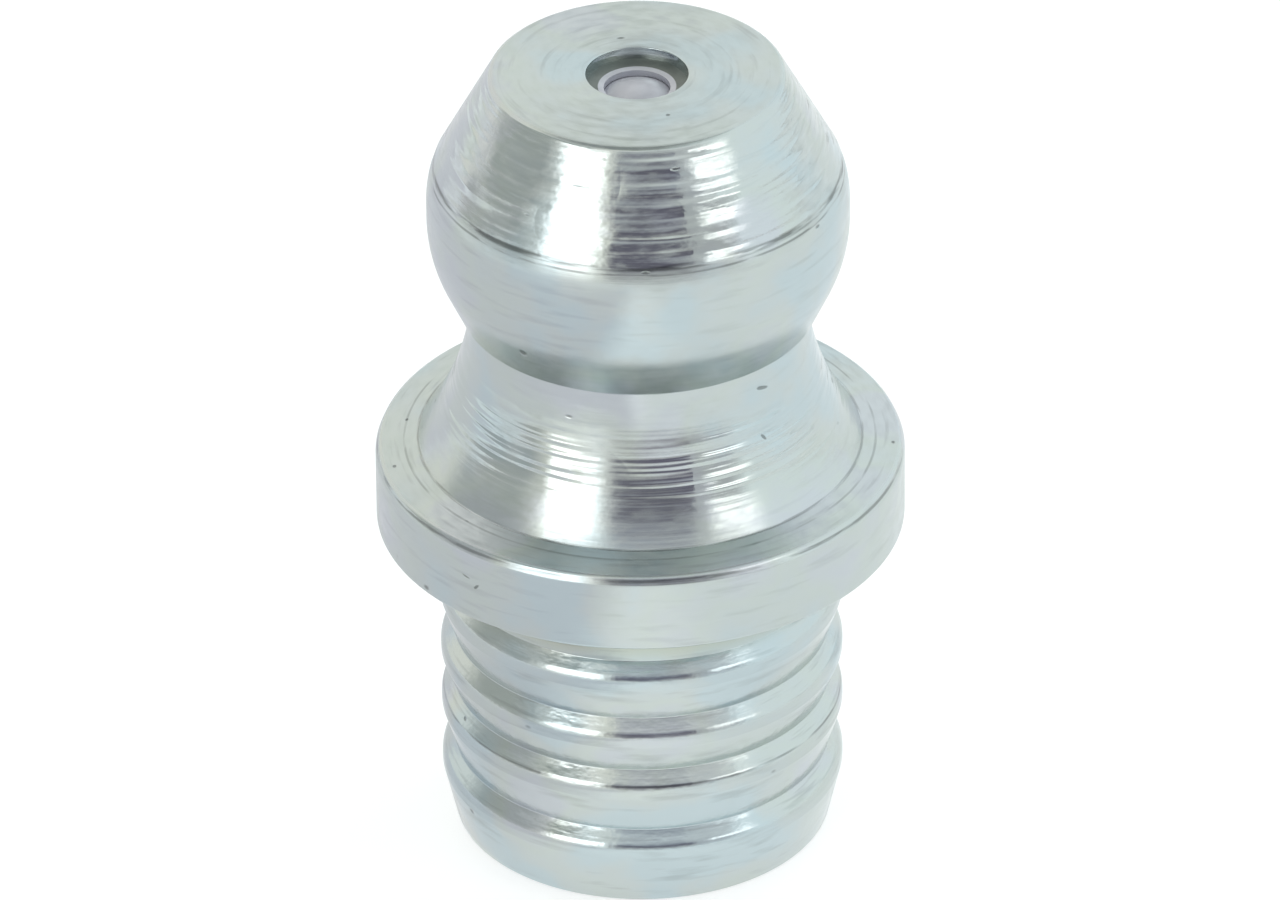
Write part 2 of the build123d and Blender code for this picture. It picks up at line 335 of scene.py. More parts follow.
class TurnedSurface:
    """The nodes of a turned surface: its coordinates, and the marks that run round its axis."""

    def __init__(self, tree):
        self.tree = tree
        self.place = add(tree, "TexCoord").outputs["Object"]
        apart = add(tree, "SeparateXYZ", {0: self.place})
        self.height = apart.outputs[2]
        self.flat = add(tree, "CombineXYZ", {0: apart.outputs[0], 1: apart.outputs[1]}).outputs[0]
        radius = add(tree, "VectorMath", {0: self.flat}, operation="LENGTH").outputs["Value"]
        # Height less radius changes along the outline, so marks drawn on it run round the axis. Only the
        # bevel at the shank's root, at 45 degrees, has none.
        self.along = add(tree, "Math", {0: self.height, 1: radius}, operation="SUBTRACT").outputs[0]
        self.section = add(tree, "CombineXYZ", {0: radius, 2: self.height}).outputs[0]

    def times(self, first, second):
        """Product of two values."""
        return add(self.tree, "Math", {0: first, 1: second}, operation="MULTIPLY").outputs[0]

    def plus(self, first, second):
        """Sum of two values."""
        return add(self.tree, "Math", {0: first, 1: second}, operation="ADD").outputs[0]

    def ramped(self, value, low, high, at_low=0.0, at_high=1.0):
        """A value taken from one range to another, and held at its ends."""
        return add(self.tree, "MapRange", {0: value, 1: low, 2: high, 3: at_low, 4: at_high}).outputs[0]

    def off_corner(self, r, z):
        """Distance from a corner of the outline."""
        return add(self.tree, "VectorMath", {0: self.section, 1: (r, 0, z)},
                   operation="DISTANCE").outputs["Value"]

    def ring_place(self, pitch, reach):
        """Coordinates that grow by one in this many mm across the turning marks, and along them."""
        across = self.times(self.along, 1 / (pitch * MM))
        level = add(self.tree, "VectorMath", {0: self.flat, "Scale": 1 / (reach * MM)},
                    operation="SCALE").outputs[0]
        lift = add(self.tree, "CombineXYZ", {2: across}).outputs[0]
        return add(self.tree, "VectorMath", {0: level, 1: lift}, operation="ADD").outputs[0]

    def ring_noise(self, marks, detail):
        """Noise between about 0.25 and 0.75, drawn out round the axis."""
        return add(self.tree, "TexNoise", {"Vector": self.ring_place(*marks), "Scale": 1.0,
                                           "Detail": detail}).outputs[0]

    def cloud_noise(self, size, detail):
        """Noise between about 0.25 and 0.75, in clouds of this many mm."""
        return add(self.tree, "TexNoise", {"Vector": self.place, "Scale": 1 / (size * MM),
                                           "Detail": detail}).outputs[0]

    def nicks(self, share, dents, blotch):
        """Small dark nicks in a share of the cells, and the dents that are given."""
        cells = add(self.tree, "TexVoronoi", {"Vector": self.ring_place(*NICK_CELLS), "Scale": 1.0})
        rare = add(self.tree, "Math", {0: cells.outputs["Color"], 1: share},
                   operation="LESS_THAN").outputs[0]
        nick = self.times(self.ramped(cells.outputs["Distance"], *NICK_EDGE), rare)
        for middle, turn, half_length, half_width in dents:
            local = add(self.tree, "Mapping", {
                "Vector": self.place, "Location": middle, "Rotation": turn,
                "Scale": (half_length, half_width, half_width)}, vector_type="TEXTURE").outputs[0]
            off = add(self.tree, "VectorMath", {0: local}, operation="LENGTH").outputs["Value"]
            nick = self.plus(nick, self.ramped(self.plus(off, blotch), *DENT_EDGE))
        return nick

    def dirt(self, nick, lines, smudge):
        """Dirt in the nicks and in faint smears, and broken dark lines at the corners and edges of the
        outline, which are painted shade and painted reflection.
        """
        broken = self.ramped(self.ring_noise(LINE_BREAKS, 2.0), *LINE_EDGE)
        dirt = self.times(nick, NICK_DIRT)
        for r, z, width, strength in lines:
            near = self.ramped(self.off_corner(r, z), width / 2, width / 5)
            dirt = self.plus(dirt, self.times(self.times(near, broken), strength))
        smears = self.times(self.ramped(self.ring_noise(SMEARS, 3.0), *SMEAR_EDGE), smudge)
        return self.plus(dirt, smears)

    def film(self, blotch, finish, straw):
        """The passivation film: faint blue, straw and violet clouds, yellower and darker in the corner given,
        where the darkening is painted shade.
        """
        clouds = self.plus(self.cloud_noise(FILM_CLOUDS, 2.0), self.times(blotch, BLOTCH_TINT))
        tints = (finish.zinc_cool, finish.zinc, finish.zinc_warm, finish.zinc_violet)
        tint = tint_ramp(self.tree, clouds, zip(FILM_SHARES, tints))
        if not straw:
            return tint
        corner_r, corner_z, reach = straw
        # Towards the corner the colour turns to a darker straw: a straw film, with painted shade in the
        # corner over it.
        gathered = self.ramped(self.off_corner(corner_r, corner_z), reach, reach / 3)
        return add(self.tree, "Mix", {0: gathered, 6: tint, 7: rgba(finish.straw_film_and_shade)},
                   data_type="RGBA").outputs[2]


def zinc_material(name, roughness, mottle, feed, streak, hair, peel, smudge, calm=None, straw=None,
                  lines=(), dents=()):
    """Bright zinc plating over turned steel.

    mottle is the swing of the roughness, and smudge the strength of the smears of dirt. feed, streak,
    hair and peel are the depths of marks, in mm. calm is four heights: the streaks are faint
    below the first and above the last, and full between the middle two. straw is a corner with a yellow
    film and painted shade: radius, height and reach. lines are dark lines round the axis, painted shade and
    painted reflection at the corners and edges, and dents short marks.
    """
    finish = bpy.context.scene.nipple_finish
    material, tree = new_material(name)
    skin = TurnedSurface(tree)
    times, plus, ramped = skin.times, skin.plus, skin.ramped

    blotch = skin.ring_noise(BLOTCHES, 2.0)
    # The rings come and go in patches, so the lamps' reflections have ragged sides.
    patches = ramped(skin.cloud_noise(RING_PATCHES, 1.0), *PATCH_EDGE, FAINT_PATCH, 1.0)
    if calm:
        patches = times(patches, ramped(skin.height, calm[0], calm[1], FAINT_BELOW, 1.0))
        patches = times(patches, ramped(skin.height, calm[2], calm[3], 1.0, FAINT_ABOVE))
    # Turning marks: even feed lines, ragged rings that smear what is mirrored, hairlines and a fine peel.
    heights = times(skin.ring_noise(FEED_LINES, 0.0), feed)
    rings = skin.ring_noise(FINE_RINGS if calm else RINGS, 1.0)
    heights = plus(heights, times(times(rings, patches), streak))
    heights = plus(heights, times(skin.ring_noise(HAIRLINES, 1.0), hair))
    heights = plus(heights, times(skin.ring_noise(PEEL, 1.0), peel))
    nick = skin.nicks(finish.nick_share, dents, blotch)
    heights = plus(heights, times(nick, -NICK_DEPTH))
    normal = add(tree, "Bump", {"Height": heights, "Distance": MM, "Strength": 1.0}).outputs[0]

    # The base colour darkens towards the nick colour in the nicks, the smears and the lines at the corners:
    # dirt, and painted shade and painted reflection.
    base = add(tree, "Mix", {0: skin.dirt(nick, lines, smudge), 6: skin.film(blotch, finish, straw),
                             7: rgba(finish.nick)}, data_type="RGBA").outputs[2]
    rough = ramped(blotch, *ROUGH_SWING, roughness * (1 - mottle / 2), roughness * (1 + mottle))
    if calm:
        # Where the rings are sharp the metal between them is bright.
        rough = times(rough, ramped(patches, *GLOSS_EDGE, 1.0, GLOSS_SHARE))
    shader = add(tree, "BsdfPrincipled", {
        "Base Color": base, "Metallic": 1.0, "Roughness": rough,
        "Anisotropic": 0.6, "Anisotropic Rotation": 0.25, "Normal": normal,
        "Tangent": add(tree, "Tangent", direction_type="RADIAL", axis="Z").outputs[0]})
    add(tree, "OutputMaterial", {"Surface": shader.outputs[0]})
    return material


def dent(azimuth, radius, height, tilt, half_length, half_width):
    """Middle, turn and half sizes of a dent, in metres, from angles in degrees and sizes in mm."""
    turn = radians(azimuth)
    middle = (radius * MM * sin(turn), -radius * MM * cos(turn), height * MM)
    return middle, (0, radians(tilt), turn), half_length * MM, half_width * MM


def plain_metal(name, tint, roughness, mark_scale, mark_depth):
    """Bare steel with fine irregular marks, whose pitch and depth are in mm."""
    material, tree = new_material(name)
    place = add(tree, "TexCoord").outputs["Object"]
    marks = add(tree, "TexNoise", {"Vector": place, "Scale": 1 / (mark_scale * MM), "Detail": 3.0})
    shade = add(tree, "MapRange", {0: marks.outputs[0], 1: 0.3, 2: 0.7, 3: roughness * (1 - STEEL_SWING),
                                   4: roughness * (1 + STEEL_SWING)})
    normal = add(tree, "Bump", {"Height": marks.outputs[0], "Distance": mark_depth * MM, "Strength": 1.0})
    shader = add(tree, "BsdfPrincipled", {
        "Base Color": rgba(tint), "Metallic": 1.0, "Roughness": shade.outputs[0],
        "Normal": normal.outputs[0]})
    add(tree, "OutputMaterial", {"Surface": shader.outputs[0]})
    return material


def sheet_material(name, tint, glow, glow_reach):
    """A matt white sheet with light through it from behind: the glow in the middle, round it and far off. The
    glow in the middle is painted light round the object's foot, which fills its shadow.
    """
    material, tree = new_material(name)
    place = add(tree, "TexCoord").outputs["Object"]
    away = add(tree, "VectorMath", {0: place}, operation="LENGTH").outputs["Value"]
    # Painted light: extra glow round the object's foot, which fills its shadow.
    near = eased(tree, away, 0.0, glow_reach, glow[0] - glow[1], 0.0)
    far = eased(tree, away, FAR_FALL[0] * MM, FAR_FALL[1] * MM, glow[1], glow[2])
    lit = add(tree, "Math", {0: near, 1: far}, operation="ADD").outputs[0]
    grain = add(tree, "TexNoise", {"Vector": place, "Scale": 1 / (FLOOR_GRAIN * MM), "Detail": 4.0})
    rough = add(tree, "MapRange", {0: grain.outputs[0], 3: FLOOR_ROUGH[0], 4: FLOOR_ROUGH[1]})
    shader = add(tree, "BsdfPrincipled", {
        "Base Color": rgba(tint), "Roughness": rough.outputs[0], "Specular IOR Level": 0.2,
        "Emission Color": (1.0, 1.0, 1.0, 1.0), "Emission Strength": lit})
    add(tree, "OutputMaterial", {"Surface": shader.outputs[0]})
    return material


def panel_material(name, foot, head, stops, strength, middle, half_width, fade):
    """A lit cloth whose tone changes with its height, and which thins out towards its sides and ends.

    Stops are heights and sRGB hex colours. middle, half_width and fade are angles round the axis.
    """
    material, tree = new_material(name)
    apart = add(tree, "SeparateXYZ", {0: add(tree, "TexCoord").outputs["Object"]})
    share = add(tree, "MapRange", {0: apart.outputs[2], 1: foot, 2: head}).outputs[0]
    tone = tint_ramp(tree, share, [((level - foot) / (head - foot), linear(tint)) for level, tint in stops])
    flat = add(tree, "CombineXYZ", {0: apart.outputs[0], 1: apart.outputs[1]}).outputs[0]
    turn = Matrix.Rotation(-middle, 3, "Z")
    ahead = add(tree, "VectorMath", {0: flat, 1: -turn[1]}, operation="DOT_PRODUCT").outputs["Value"]
    aside = add(tree, "VectorMath", {0: flat, 1: turn[0]}, operation="DOT_PRODUCT").outputs["Value"]
    angle_off = add(tree, "Math", {0: aside, 1: ahead}, operation="ARCTAN2").outputs[0]
    apart_by = add(tree, "Math", {0: angle_off}, operation="ABSOLUTE").outputs[0]
    sides = eased(tree, apart_by, half_width, half_width - fade)
    low, top = eased(tree, share, 0.0, CLOTH_ENDS), eased(tree, share, 1.0, 1.0 - CLOTH_ENDS)
    ends = add(tree, "Math", {0: low, 1: top}, operation="MULTIPLY").outputs[0]
    cover = add(tree, "Math", {0: sides, 1: ends}, operation="MULTIPLY").outputs[0]
    glow = add(tree, "Emission", {"Color": tone, "Strength": strength}).outputs[0]
    clear = add(tree, "BsdfTransparent").outputs[0]
    mixed = add(tree, "MixShader", {0: cover, 1: clear, 2: glow}).outputs[0]
    add(tree, "OutputMaterial", {"Surface": mixed})
    return material


def shade_net_material(name):
    """A grey net of painted shade, which dims what is seen through it, more on the left than on the right."""
    material, tree = new_material(name)
    across = add(tree, "SeparateXYZ", {0: add(tree, "TexCoord").outputs["Object"]}).outputs[0]
    left = eased(tree, across, -MM, NET_LEFT_AT * MM)
    right = eased(tree, across, MM, NET_RIGHT_AT * MM)
    tone = add(tree, "Mix", {0: left, 6: (1, 1, 1, 1), 7: rgba(NET_LEFT)}, data_type="RGBA").outputs[2]
    tone = add(tree, "Mix", {0: right, 6: tone, 7: rgba(NET_RIGHT)}, data_type="RGBA").outputs[2]
    clear = add(tree, "BsdfTransparent", {"Color": tone}).outputs[0]
    add(tree, "OutputMaterial", {"Surface": clear})
    return material


class Pen:
    """Draws a half section in the XZ plane, from corner to corner and by arcs."""

    def __init__(self, mesh, r, z, corner_round=0.0, steps=6):
        self.mesh = mesh
        self.first = self.last = mesh.verts.new((r, 0, z))
        self.rounds = [(self.first, corner_round, steps)] if corner_round else []

    def to(self, r, z, corner_round=0.0, steps=6):
        """A straight run to a corner, which is rounded later if it has a radius."""
        vert = self.mesh.verts.new((r, 0, z))
        self.mesh.edges.new((self.last, vert))
        self.last = vert
        if corner_round:
            self.rounds.append((vert, corner_round, steps))

    def arc(self, r, z, bend_r, steps, corner_round=0.0, corner_steps=5):
        """An arc of this radius to a point: the centre lies on the axis side where it is positive."""
        start, end = Vector(self.last.co), Vector((r, 0, z))
        half = (end - start) / 2
        side = Vector((half.z, 0, -half.x)).normalized()
        reach = sqrt(bend_r**2 - half.length_squared)
        centre = start + half + side * (reach if bend_r > 0 else -reach)
        turn = (start - centre).angle(end - centre)
        if (start - centre).cross(end - centre).y < 0:
            turn = -turn
        made = bmesh.ops.spin(self.mesh, geom=[self.last], cent=centre, axis=(0, 1, 0), angle=turn,
                              steps=steps, use_duplicate=False, space=Matrix.Identity(4))
        self.last = [item for item in made["geom_last"] if isinstance(item, bmesh.types.BMVert)][0]
        if corner_round:
            self.rounds.append((self.last, corner_round, corner_steps))

    def close(self):
        """Joins the end to the start, and rounds the corners."""
        self.mesh.edges.new((self.last, self.first))
        for vert, radius, steps in self.rounds:
            ends = [edge.other_vert(vert).co - vert.co for edge in vert.link_edges]
            opening = ends[0].angle(ends[1])
            bmesh.ops.bevel(self.mesh, geom=[vert], offset=radius / tan(opening / 2), segments=steps,
                            profile=0.5, affect="VERTICES", offset_type="OFFSET", material=-1)


def spun(name, mesh, facets):
    """Turns the half section in a mesh once round the axis and makes it an object."""
    geometry = list(mesh.verts) + list(mesh.edges)
    bmesh.ops.spin(mesh, geom=geometry, cent=(0, 0, 0), axis=(0, 0, 1), angle=2 * pi, steps=facets,
                   use_merge=True, use_duplicate=False)
    return finished(name, mesh)


def linked(name, mesh):
    """Makes an object of a mesh, at the origin, and puts it in the scene."""
    data = bpy.data.meshes.new(name)
    mesh.to_mesh(data)
    mesh.free()
    piece = bpy.data.objects.new(name, data)
    bpy.context.scene.collection.objects.link(piece)
    return piece


def finished(name, mesh):
    """Closes a mesh, turns its faces outwards, keeps its sharp edges and makes it an object."""
    bmesh.ops.remove_doubles(mesh, verts=mesh.verts, dist=1e-8)
    bmesh.ops.recalc_face_normals(mesh, faces=mesh.faces)
    for face in mesh.faces:
        face.smooth = True
    for edge in mesh.edges:
        edge.smooth = len(edge.link_faces) == 2 and edge.calc_face_angle() < SHARP_ANGLE
    return linked(name, mesh)


class BodyOutline:
    """Radii and heights of the body's corners, worked out from the frame and the properties."""

    def __init__(self, scene):
        self.head, self.collar, self.valve = scene.nipple_head, scene.nipple_collar, scene.nipple_valve
        self.top, self.end = body_high.z, body_low.z
        self.collar_r = body_high.x
        self.lay_out_head()
        self.lay_out_shank()
        self.lay_out_valve()

    def lay_out_head(self):
        """Nose cone, bevel, widest part, underside, neck and flare."""
        head, collar = self.head, self.collar
        self.head_r, land_mid, land_length = mount_size("head")
        self.cone_r = self.head_r - head.cone_inset
        self.face_r = self.head_r - head.face_inset
        self.cone_z = self.top - (self.cone_r - self.face_r) / tan(head.cone_angle)
        self.bevel_r = self.head_r - head.bevel_inset
        self.bevel_z = self.cone_z - (self.bevel_r - self.cone_r) / tan(head.bevel_angle)
        self.land_top, self.land_foot = land_mid + land_length / 2, land_mid - land_length / 2
        self.turn_in_r = self.head_r - head.under_r * (1 - cos(head.under_angle))
        self.turn_in_z = self.land_foot - head.under_r * sin(head.under_angle)
        self.under_r = self.head_r - head.under_inset
        self.under_z = self.turn_in_z - (self.turn_in_r - self.under_r) / tan(head.under_angle)
        self.neck_r, self.neck_z = self.under_r - head.neck_inset, self.under_z - head.neck_step
        self.flare_r = self.collar_r - collar.ledge
        self.flare_z = collar.rim + collar.ledge * tan(collar.slope)

    def lay_out_shank(self):
        """Grooves, and the lower ends of the crests' upper rounds, from the top one down."""
        collar = self.collar
        self.crest_r, crest_mid, self.crest_length = mount_size("shank")
        self.groove_r = self.crest_r - collar.groove_inset
        self.crest_rise = collar.crest_round * tan(collar.back_angle / 2)
        self.back = collar.groove_inset / tan(collar.back_angle)
        self.crests = [crest_mid + self.crest_length / 2]
        for pitch in (collar.pitch_3, collar.pitch_2, collar.pitch_1):
            self.crests.insert(0, self.crests[0] + pitch)

    def lay_out_valve(self):
        """Mouth, port, seat, bore, lip and the punch's ring mark."""
        valve = self.valve
        self.mouth_r, _, mouth_length = mount_size("inlet")
        self.lip_r, _, lip_length = mount_size("outlet")
        ball_r = (ball_high.z - ball_low.z) / 2
        self.mouth_floor = self.top - mouth_length
        self.port_r = ball_r * cos(valve.drill_angle) - valve.seat_width
        self.port_top = self.mouth_floor - (self.mouth_r - self.port_r) / tan(valve.mouth_angle)
        self.port_foot = self.port_top - valve.port_length
        self.bore_r = ball_r + valve.bore_play
        self.seat_foot = self.port_foot - (self.bore_r - self.port_r) / tan(valve.drill_angle)
        self.lip_top = self.end + lip_length
        self.lip_base = self.lip_top + (self.bore_r - self.lip_r) / tan(valve.lip_angle)
        self.stake_r = self.bore_r + valve.stake_offset

    def draw(self, mesh):
        """Draws the closed half section, from the mouth's edge outwards and down, and back up inside."""
        head, collar, valve = self.head, self.collar, self.valve
        pen = Pen(mesh, self.mouth_r, self.top, valve.mouth_round)
        pen.to(self.face_r, self.top, head.face_round)
        pen.to(self.cone_r, self.cone_z)
        pen.to(self.bevel_r, self.bevel_z)
        pen.arc(self.head_r, self.land_top, head.crown_r, steps=10)
        pen.to(self.head_r, self.land_foot)
        pen.arc(self.turn_in_r, self.turn_in_z, head.under_r, steps=12)
        pen.to(self.under_r, self.under_z)
        pen.to(self.neck_r, self.neck_z)
        pen.arc(self.flare_r, self.flare_z, -head.flare_r, steps=40, corner_round=collar.flare_foot)

        pen.to(self.collar_r - collar.edge_inset, collar.rim + collar.edge_inset * tan(collar.slope),
               collar.top_round)
        pen.to(self.collar_r, collar.rim - collar.edge_drop, collar.top_round)
        pen.to(self.collar_r, 0, collar.foot_round, steps=5)
        pen.to(self.groove_r + collar.root_bevel, 0)
        pen.to(self.groove_r, -collar.root_bevel)
        for crest_z in self.crests:
            pen.to(self.groove_r, crest_z + self.crest_rise + self.back, collar.groove_round)
            pen.to(self.crest_r, crest_z + self.crest_rise, collar.crest_round, steps=10)
            pen.to(self.crest_r, crest_z - self.crest_length, collar.crest_foot, steps=4)
        pen.to(self.crest_r - collar.pilot_inset, self.end, collar.pilot_round, steps=5)

        pen.to(self.stake_r + valve.stake_width / 2, self.end)
        pen.to(self.stake_r, self.end + valve.stake_depth)
        pen.to(self.stake_r - valve.stake_width / 2, self.end)
        pen.to(self.lip_r, self.end)
        pen.to(self.lip_r, self.lip_top)
        pen.to(self.bore_r, self.lip_base)
        pen.to(self.bore_r, self.seat_foot)
        pen.to(self.port_r, self.port_foot)
        pen.to(self.port_r, self.port_top)
        pen.to(valve.shade_edge_r, self.port_top + (valve.shade_edge_r - self.port_r) / tan(valve.mouth_angle))
        pen.to(self.mouth_r, self.mouth_floor)
        pen.close()

    def shade_and_reflection_lines(self):
        """Dark lines painted at the outline's corners and edges, as shade in its creases and reflection on
        its edges: radius and height, width, and strength.
        """
        collar = self.collar
        bevel_mid_r, bevel_mid_z = (self.cone_r + self.bevel_r) / 2, (self.cone_z + self.bevel_z) / 2
        ring_r = self.collar_r - collar.ring_inset
        ring_z = collar.rim + collar.ring_inset * tan(collar.slope)
        burr_z = self.crests[2] + 1.3 * self.crest_rise
        return (
            # The cone's foot, the bevel, the flare's foot, the ledge's ring line, a burr on the third crest
            # and the rim's edge: painted shade in the creases and painted reflection on the edges.
            (self.cone_r, self.cone_z, 0.12 * MM, 0.70),
            (bevel_mid_r, bevel_mid_z, 0.05 * MM, 0.5),
            (self.flare_r, self.flare_z, 0.07 * MM, 0.45),
            (ring_r, ring_z, collar.ring_width, 0.35),
            (self.crest_r - 0.03 * MM, burr_z, 0.05 * MM, 0.5),
            (self.collar_r - 0.03 * MM, collar.rim - 0.06 * MM, 0.07 * MM, 0.55),
        )

    def finish_at(self, middle, normal):
        """The finish of a face, by where it lies and which way it looks.

        Hidden as the nipple stands, the valve bore and the lip's slope take the finish of the outside at
        their height, and the lip's hole that of the end.
        """
        radius = hypot(middle.x, middle.y)
        level, looks_up, looks_down = normal.z >= 0.999, normal.z > 0.95, normal.z < -0.9
        in_port = radius < self.bore_r and self.port_top > middle.z > self.seat_foot
        if in_port or (radius < self.valve.shade_edge_r and middle.z > self.port_top):
            return "seat"
        # The mouth's floor outside that ring takes the dark passage finish, as painted shade of the mouth's
        # wall.
        inside = self.mouth_r - self.valve.mouth_round / 2
        if radius < inside and middle.z > self.lip_top and not level:
            return "passage"
        if looks_up and (middle.z > self.cone_z or radius > self.flare_r):
            return "faced"
        if middle.z > self.cone_z:
            return "turned"
        if self.neck_z > middle.z > self.flare_z:
            return "flared"
        if looks_down or radius < self.lip_r + MM / 100:
            return "faced"
        return "plain" if middle.z > 0 else "shank"


def body_finishes(outline):
    """The body's materials, by finish."""
    finish = bpy.context.scene.nipple_finish
    marks = {"lines": outline.shade_and_reflection_lines(), "dents": [dent(*place) for place in DENTS]}
    return {
        # Turned and polished: the nose cone and the mouth's wall. Its rings smear what they mirror.
        "turned": zinc_material(
            "bright_zinc_turned", roughness=0.12, mottle=1.0, feed=0.006, streak=0.050, hair=0.0008,
            peel=0.002, smudge=0.05, **marks),
        # Turned with a form tool: the flare, duller, with rings that die away towards the collar.
        "flared": zinc_material(
            "bright_zinc_flare", roughness=0.20, mottle=0.3, feed=0.005, streak=0.045, hair=0.0008,
            peel=0.001, smudge=0.05, calm=[outline.flare_z + rise * MM for rise in RING_HEIGHTS], **marks),
        # Plated and left: the rim and the rest of the head, a satin that shows the floor.
        "plain": zinc_material(
            "bright_zinc_plain", roughness=0.22, mottle=0.2, feed=0.002, streak=0.004, hair=0.0008,
            peel=0.001, smudge=0.12, **marks),
        # Shaved by the barbing tool: the shank, smooth and glossy with thin lights on its crests. Its neck
        # under the collar turns darker and yellower: a straw film, and painted shade of the collar.
        "shank": zinc_material(
            "bright_zinc_shank", roughness=0.15, mottle=0.3, feed=0.003, streak=0.010, hair=0.0008,
            peel=0.003, smudge=0.20, straw=(outline.crest_r, -0.3 * MM, 0.75 * MM), **marks),
        # Faced across: the top, the collar's ledge and underside, and the end. Paler and duller, with smears.
        "faced": zinc_material(
            "bright_zinc_faced", roughness=0.34, mottle=0.3, feed=0.001, streak=0.001, hair=0.0006,
            peel=0.003, smudge=0.18, **marks),
        # Hardly plated, dark and dull: the mouth's floor outside the bright ring, where the dark is painted
        # shade of the mouth's wall.
        "passage": plain_metal("passage_steel_and_painted_shade", finish.passage, roughness=0.42, mark_scale=0.15,
                               mark_depth=0.004),
        # Rubbed bright by the ball: the port and its seat; and a ring of the mouth's floor, left clear of the
        # painted shade.
        "seat": plain_metal("seat_steel", finish.ball, roughness=0.5, mark_scale=0.2, mark_depth=0.001),
    }


class NIPPLE_OT_body(bpy.types.Operator):
    """Build the turned and zinc-plated body"""
    bl_idname = "nipple.body"
    bl_label = "Body"

    def execute(self, context):
        outline = BodyOutline(context.scene)
        mesh = bmesh.new()
        outline.draw(mesh)
        piece = spun("body", mesh, context.scene.nipple_finish.facets)
        finishes = body_finishes(outline)
        for material in finishes.values():
            piece.data.materials.append(material)
        order = list(finishes)
        for face in piece.data.polygons:
            face.material_index = order.index(outline.finish_at(face.center, face.normal))
        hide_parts("nipple_body")
        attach(piece, "nipple")
        return {"FINISHED"}


class NIPPLE_OT_ball(bpy.types.Operator):
    """Build the check ball"""
    bl_idname = "nipple.ball"
    bl_label = "Ball"

    def execute(self, context):
        finish = context.scene.nipple_finish
        radius = (ball_high.z - ball_low.z) / 2
        middle = (ball_high.z + ball_low.z) / 2
        mesh = bmesh.new()
        bmesh.ops.create_uvsphere(mesh, u_segments=96, v_segments=64, radius=radius,
                                  matrix=Matrix.Translation((0, 0, middle)))
        piece = finished("ball", mesh)
        # Worn to a satin by the grease: it shows the studio's sky, blurred, in the small mouth.
        piece.data.materials.append(plain_metal("satin_ball_steel", finish.ball, roughness=0.60,
                                                mark_scale=0.3, mark_depth=0.001))
        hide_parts("check_ball")
        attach(piece, "ball")
        return {"FINISHED"}


class NIPPLE_OT_spring(bpy.types.Operator):
    """Wind the compression spring"""
    bl_idname = "nipple.spring"
    bl_label = "Spring"

    def execute(self, context):
        finish = context.scene.nipple_finish
        valve = context.scene.nipple_valve
        wire_r = valve.wire_d / 2
        bore_r = (ball_high.z - ball_low.z) / 2 + valve.bore_play
        coil_r = bore_r - valve.spring_play - wire_r
        bottom, top = spring_low.z + wire_r, spring_high.z - wire_r
        close_pitch = valve.wire_d + valve.closed_gap
        open_turns = valve.turns - 2 * valve.closed_turns
        open_pitch = (top - bottom - 2 * valve.closed_turns * close_pitch) / open_turns
        steps_per_turn = 32
        mesh = bmesh.new()
        ring = bmesh.ops.create_circle(mesh, segments=12, radius=wire_r, cap_ends=True,
                                       matrix=Matrix.Translation((coil_r, 0, bottom))
                                       @ Matrix.Rotation(pi / 2, 4, "X"))
        last = ring["verts"][:]
        last += [edge for edge in mesh.edges] + [face for face in mesh.faces]
        for turns, pitch in ((valve.closed_turns, close_pitch), (open_turns, open_pitch),
                             (valve.closed_turns, close_pitch)):
            count = round(turns * steps_per_turn)
            made = bmesh.ops.spin(mesh, geom=last, cent=(0, 0, 0), axis=(0, 0, 1),
                                  dvec=(0, 0, pitch * turns / count), angle=2 * pi * turns, steps=count)
            last = made["geom_last"]
        piece = finished("spring", mesh)
        # Drawn wire: dull bright, with marks along it.
        piece.data.materials.append(plain_metal("drawn_spring_wire", finish.wire, roughness=0.3,
                                                mark_scale=0.08, mark_depth=0.0008))
        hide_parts("valve_spring")
        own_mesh(piece)
        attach(piece, "nipple")
        return {"FINISHED"}


def panel(name, azimuth, half_width, fade, distance, stops, strength=1.0):
    """An upright cloth panel that stands round the object, with its tone given by elevation."""
    levels = [(distance * tan(radians(elevation)), tint) for elevation, tint in stops]
    foot, head = levels[0][0], levels[-1][0]
    mesh = bmesh.new()
    bmesh.ops.create_grid(mesh, x_segments=1, y_segments=1, size=0.5)
    wide = 2 * distance * tan(radians(half_width))
    place = (Matrix.Rotation(radians(azimuth), 4, "Z") @ Matrix.Translation((0, -distance, (foot + head) / 2))
             @ Matrix.Rotation(pi / 2, 4, "X") @ Matrix.Diagonal((wide, head - foot, 1, 1)))
    bmesh.ops.transform(mesh, matrix=place, verts=mesh.verts)
    piece = linked(name, mesh)
    piece.data.materials.append(panel_material(name + "_cloth", foot, head, levels, strength,
                                               radians(azimuth), radians(half_width), radians(fade)))
    piece.visible_camera = False
    piece.visible_shadow = False


def lamp(name, azimuth, half_width, fade, distance, foot, head, strength):
    """A bright white panel between two elevations."""
    panel(name, azimuth, half_width, fade, distance, ((foot, "#FFFFFF"), (head, "#FFFFFF")), strength)


def softbox(name, azimuth, elevation, distance, wide, tall, radiance):
    """An area light that faces the object, with its brightness given as radiance."""
    light = bpy.data.lights.new(name, "AREA")
    light.shape = "RECTANGLE"
    light.size, light.size_y = wide, tall
    light.energy = radiance * pi * wide * tall
    piece = bpy.data.objects.new(name, light)
    a, e = radians(azimuth), radians(elevation)
    back = Vector((sin(a) * cos(e), -cos(a) * cos(e), sin(e)))
    piece.location = back * distance
    piece.rotation_euler = back.to_track_quat("Z", "Y").to_euler()
    piece.visible_camera = False
    piece.visible_glossy = False
    bpy.context.scene.collection.objects.link(piece)


